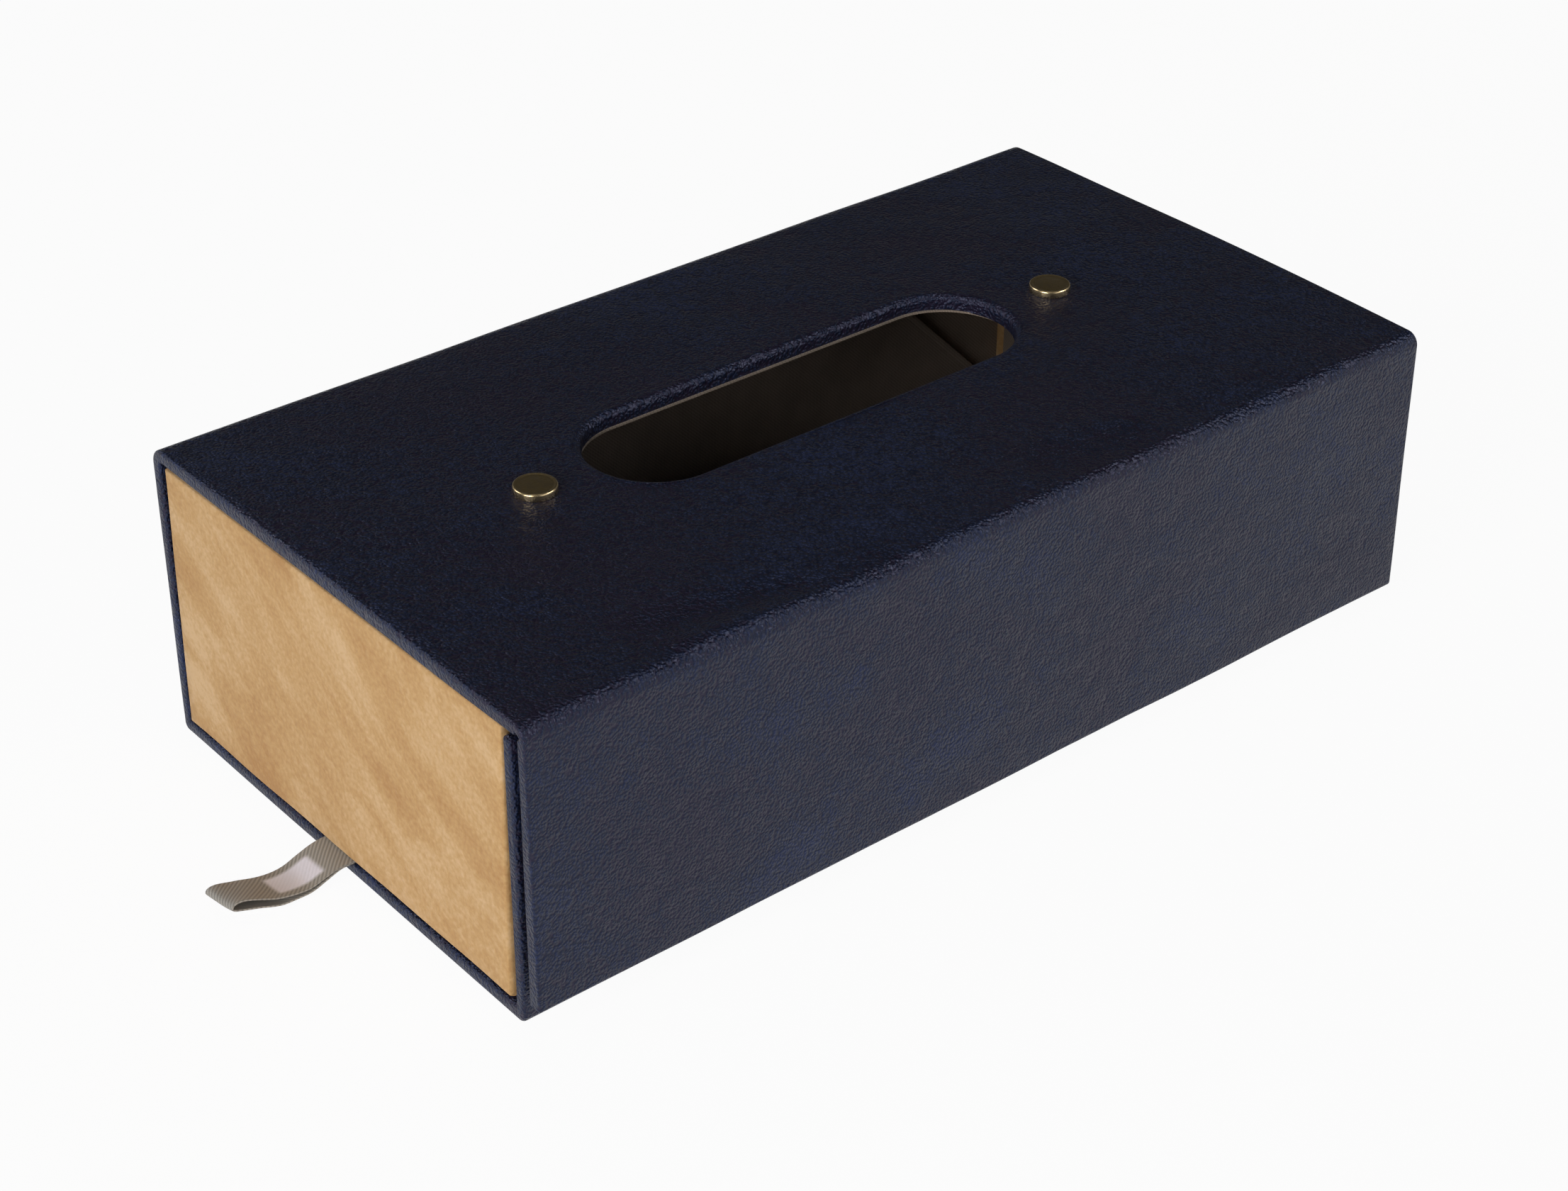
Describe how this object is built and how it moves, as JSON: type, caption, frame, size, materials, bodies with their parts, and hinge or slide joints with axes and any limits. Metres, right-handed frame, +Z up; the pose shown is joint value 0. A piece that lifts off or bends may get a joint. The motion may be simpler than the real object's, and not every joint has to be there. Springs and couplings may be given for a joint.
{
  "type": "tissue box with drawer",
  "caption": "Leather-covered tissue box with a hinged lid, a long rounded tissue slot, a magnetic side flap and a pull-out drawer with a ribbon pull.",
  "frame": {"origin": "on the table plane, under the middle of the overall width and of the length", "axes": "+X from the hinge wall towards the flap, +Y from the drawer's front to the closed end, +Z up"},
  "size_m": [0.1416, 0.2909, 0.0787],
  "materials": {
    "navy_leather": "fine pebble grain, semi-matte",
    "tan_leather": "short-napped suede look, matte",
    "board": "grey board, covered all over",
    "lining_cloth": "dark taupe bookcloth",
    "tray_cloth": "dark brown bookcloth",
    "ribbon": "woven twill ribbon",
    "brass": "antiqued brass",
    "magnet_steel": "plated disc magnets"
  },
  "bodies": {
    "case": {"case_leather": "navy_leather", "base_board": "board", "back_board": "board", "side_board": "board", "side_magnets": "magnet_steel", "case_lining": "lining_cloth", "end_board": "board", "end_leather": "tan_leather", "end_lining": "lining_cloth", "back_hinge_leather": "navy_leather", "back_hinge_lining": "lining_cloth"},
    "lid": {"lid_board": "board", "lid_leather": "navy_leather", "lid_lining": "lining_cloth", "rivet_caps": "brass", "rivet_backs": "brass", "front_hinge_leather": "navy_leather", "front_hinge_lining": "lining_cloth"},
    "flap": {"flap_board": "board", "flap_leather": "navy_leather", "flap_lining": "lining_cloth", "flap_magnets": "magnet_steel"},
    "drawer": {"drawer_front_board": "board", "drawer_front_leather": "tan_leather", "drawer_front_lining": "tray_cloth", "drawer_base_board": "board", "drawer_left_board": "board", "drawer_right_board": "board", "drawer_cloth": "tray_cloth", "drawer_lining": "tray_cloth", "pull_ribbon": "ribbon"}
  },
  "joints": [
    {"name": "lid_hinge", "type": "hinge", "parent": "case", "child": "lid", "pos_m": [-0.0694, 0, 0.0746], "axis": [0, -1, 0], "range_deg": [0, 180], "deforming": ["back_hinge_leather", "back_hinge_lining"]},
    {"name": "flap_hinge", "type": "hinge", "parent": "lid", "child": "flap", "pos_m": [0.0692, 0, 0.0744], "axis": [0, -1, 0], "range_deg": [0, 180], "deforming": ["front_hinge_leather", "front_hinge_lining"]},
    {"name": "drawer_slide", "type": "slide", "parent": "case", "child": "drawer", "axis": [0, -1, 0], "range_m": [0, 0.2]}
  ]
}
